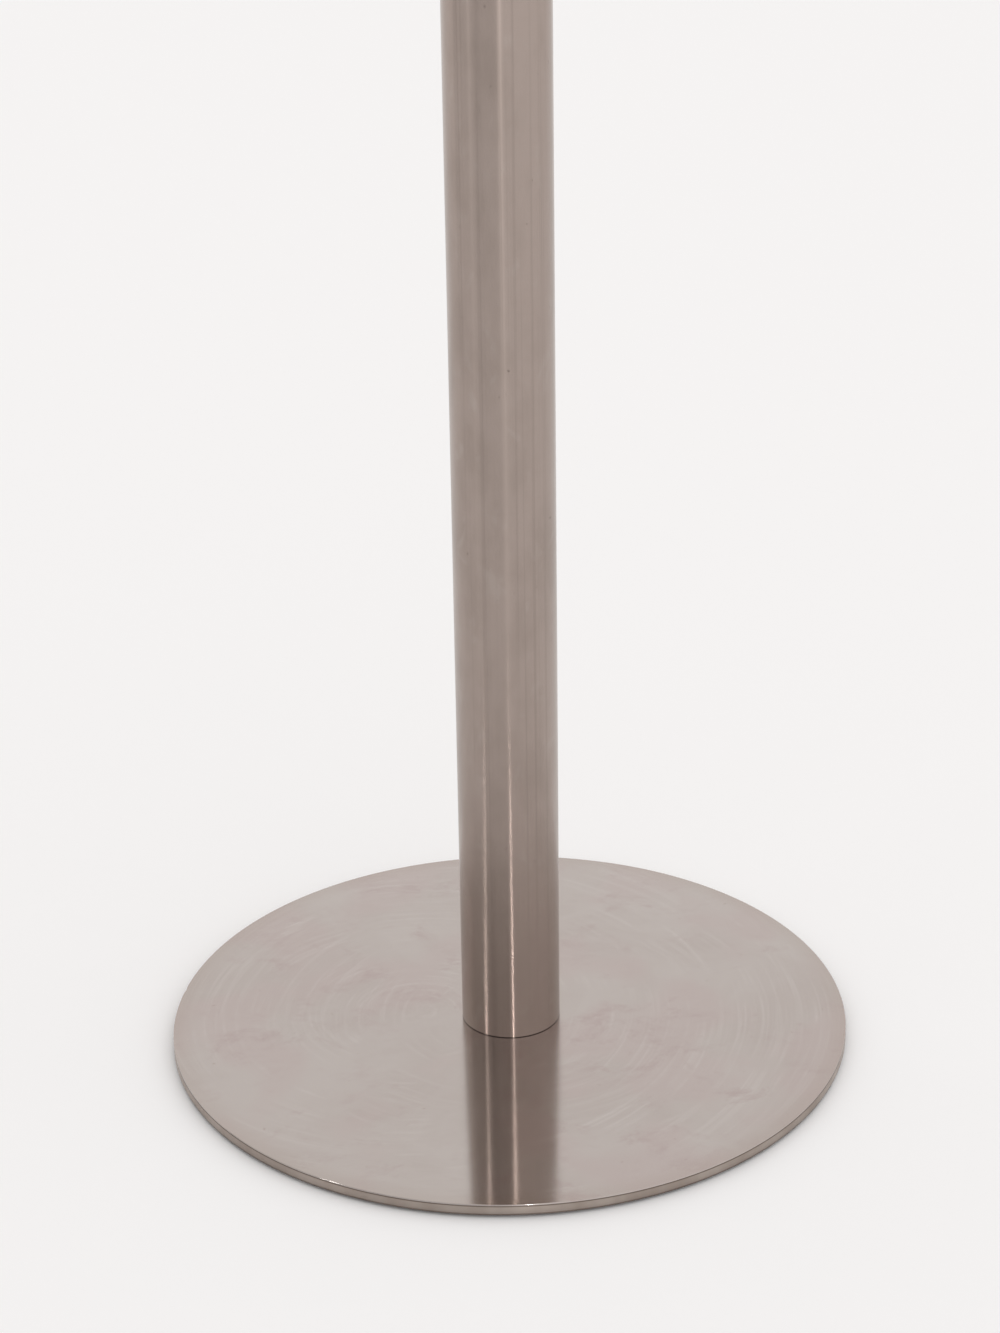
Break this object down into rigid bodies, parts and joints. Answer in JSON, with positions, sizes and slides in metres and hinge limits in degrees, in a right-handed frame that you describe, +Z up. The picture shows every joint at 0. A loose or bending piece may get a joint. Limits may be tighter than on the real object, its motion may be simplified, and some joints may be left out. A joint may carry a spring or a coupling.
{
  "type": "rope barrier stanchion",
  "caption": "Round steel tube post on a thin flat round base plate, with a swivelling slotted rope ring and a flat screw-off cap.",
  "frame": {"origin": "centre of the footprint on the floor, under the rubber mat, on the post's axis", "axes": "+Z up along the post; the rope ring's four slots face +X, +Y, -X and -Y at rest"},
  "size_m": [0.35, 0.35, 0.965],
  "materials": {
    "polished_stainless": "polished stainless steel with fine swirl marks",
    "brushed_stainless": "satin, brushed around the tube",
    "turned_steel": "as turned",
    "black_rubber": "matte, fine moulded grain",
    "grey_nylon": "matte"
  },
  "bodies": {
    "post": {"floor_mat": "black_rubber", "base_plate": "polished_stainless", "base_screw_1": "turned_steel", "base_screw_2": "turned_steel", "base_screw_3": "turned_steel", "foot_plug": "turned_steel", "post_tube": "brushed_stainless", "head_plug": "polished_stainless", "lower_washer": "grey_nylon", "neck_spacer": "turned_steel", "upper_washer": "grey_nylon"},
    "rope_ring": {"rope_ring": "polished_stainless", "ring_bush": "grey_nylon"},
    "cap_stud": {"cap_stud": "turned_steel"},
    "cap": {"cap": "polished_stainless", "stud_nut": "turned_steel"}
  },
  "joints": [
    {"name": "rope_ring_swivel", "type": "hinge", "parent": "post", "child": "rope_ring", "pos_m": [0, 0, 0.94218], "axis": [0, 0, 1], "continuous": true},
    {"name": "cap_rise", "type": "slide", "parent": "post", "child": "cap_stud", "axis": [0, 0, 1], "range_m": [0, 0.021]},
    {"name": "cap_turn", "type": "hinge", "parent": "cap_stud", "child": "cap", "pos_m": [0, 0, 0.949], "axis": [0, 0, 1], "range_deg": [0, 4320]}
  ],
  "couplings": [
    {"joint": "cap_rise", "follows": "cap_turn", "m_per_rad": 0.00027852}
  ]
}
